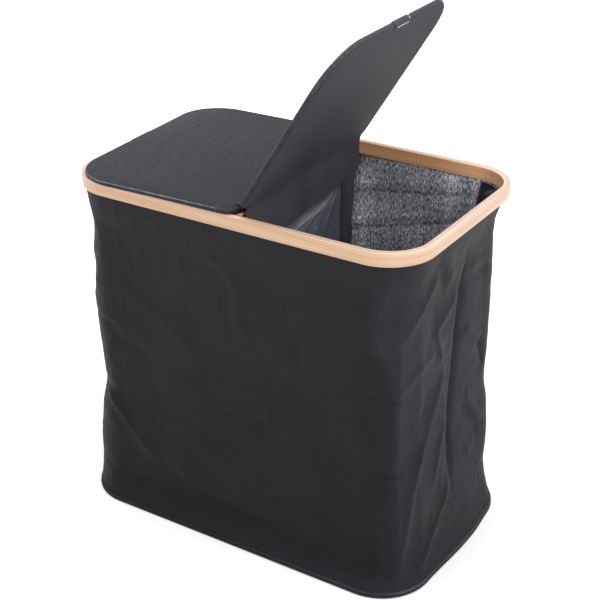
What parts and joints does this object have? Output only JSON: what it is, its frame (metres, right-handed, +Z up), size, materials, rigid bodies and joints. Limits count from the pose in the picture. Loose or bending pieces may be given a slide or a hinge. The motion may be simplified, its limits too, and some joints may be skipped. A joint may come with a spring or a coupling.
{
  "type": "laundry hamper",
  "caption": "Rectangular fabric laundry hamper divided into bins, with a bent bamboo rim and padded lids that fold up from a soft centre hinge.",
  "frame": {"origin": "on the floor, under the middle of the base", "axes": "+Z up, X along the hamper's length with the open lid towards +X, -Y the front"},
  "size_m": [0.538, 0.3335, 0.7243],
  "materials": {
    "bamboo": "pale bamboo, satin lacquer",
    "outer_canvas": "black woven canvas, matt",
    "lid_cloth": "charcoal woven cloth, matt",
    "melange_lining": "grey melange weave",
    "divider_cloth": "blue-grey thin cloth, slight sheen",
    "webbing": "black binding tape",
    "fibre_board": "plain fibre board",
    "pad_foam": "soft foam",
    "rod_steel": "drawn steel",
    "screw_steel": "zinc plated",
    "socket_plastic": "black moulded plastic"
  },
  "bodies": {
    "hamper": {"bamboo_rim": "bamboo", "centre_bar": "bamboo", "rim_hem_strip": "webbing", "front_panel": "outer_canvas", "back_panel": "outer_canvas", "left_end_panel": "outer_canvas", "right_end_panel": "outer_canvas", "base_welt": "outer_canvas", "base_cover": "outer_canvas", "left_lining": "melange_lining", "right_lining": "melange_lining", "floor_lining": "melange_lining", "base_board": "fibre_board", "divider_web": "divider_cloth", "bar_socket_front": "socket_plastic", "bar_socket_back": "socket_plastic", "fastening_tape_left": "webbing", "fastening_tape_right": "webbing", "hinge_flap_left": "lid_cloth", "hinge_flap_right": "lid_cloth", "hinge_strip": "lid_cloth", "rod_front_left": "rod_steel", "rod_sleeve_front_left": "webbing", "rod_front_middle": "rod_steel", "rod_sleeve_front_middle": "webbing", "rod_front_right": "rod_steel", "rod_sleeve_front_right": "webbing", "rod_back_left": "rod_steel", "rod_sleeve_back_left": "webbing", "rod_back_middle": "rod_steel", "rod_sleeve_back_middle": "webbing", "rod_back_right": "rod_steel", "rod_sleeve_back_right": "webbing", "socket_screw_front": "screw_steel", "socket_screw_back": "screw_steel"},
    "left_lid": {"left_lid_top_cover": "lid_cloth", "left_lid_under_cover": "lid_cloth", "left_lid_board": "fibre_board", "left_lid_pad": "pad_foam", "left_lid_tab": "webbing", "left_lid_hinge_leaf": "lid_cloth"},
    "right_lid": {"right_lid_top_cover": "lid_cloth", "right_lid_under_cover": "lid_cloth", "right_lid_board": "fibre_board", "right_lid_pad": "pad_foam", "right_lid_tab": "webbing", "right_lid_hinge_leaf": "lid_cloth"}
  },
  "joints": [
    {"name": "left_lid_hinge", "type": "hinge", "parent": "hamper", "child": "left_lid", "pos_m": [0.009, 0, 0.5076], "axis": [-0.0384, 0.9993, 0], "range_deg": [0, 85]},
    {"name": "right_lid_hinge", "type": "hinge", "parent": "hamper", "child": "right_lid", "pos_m": [0.009, 0, 0.5076], "axis": [0.0384, -0.9993, 0], "range_deg": [-58.5, 26.5]}
  ]
}
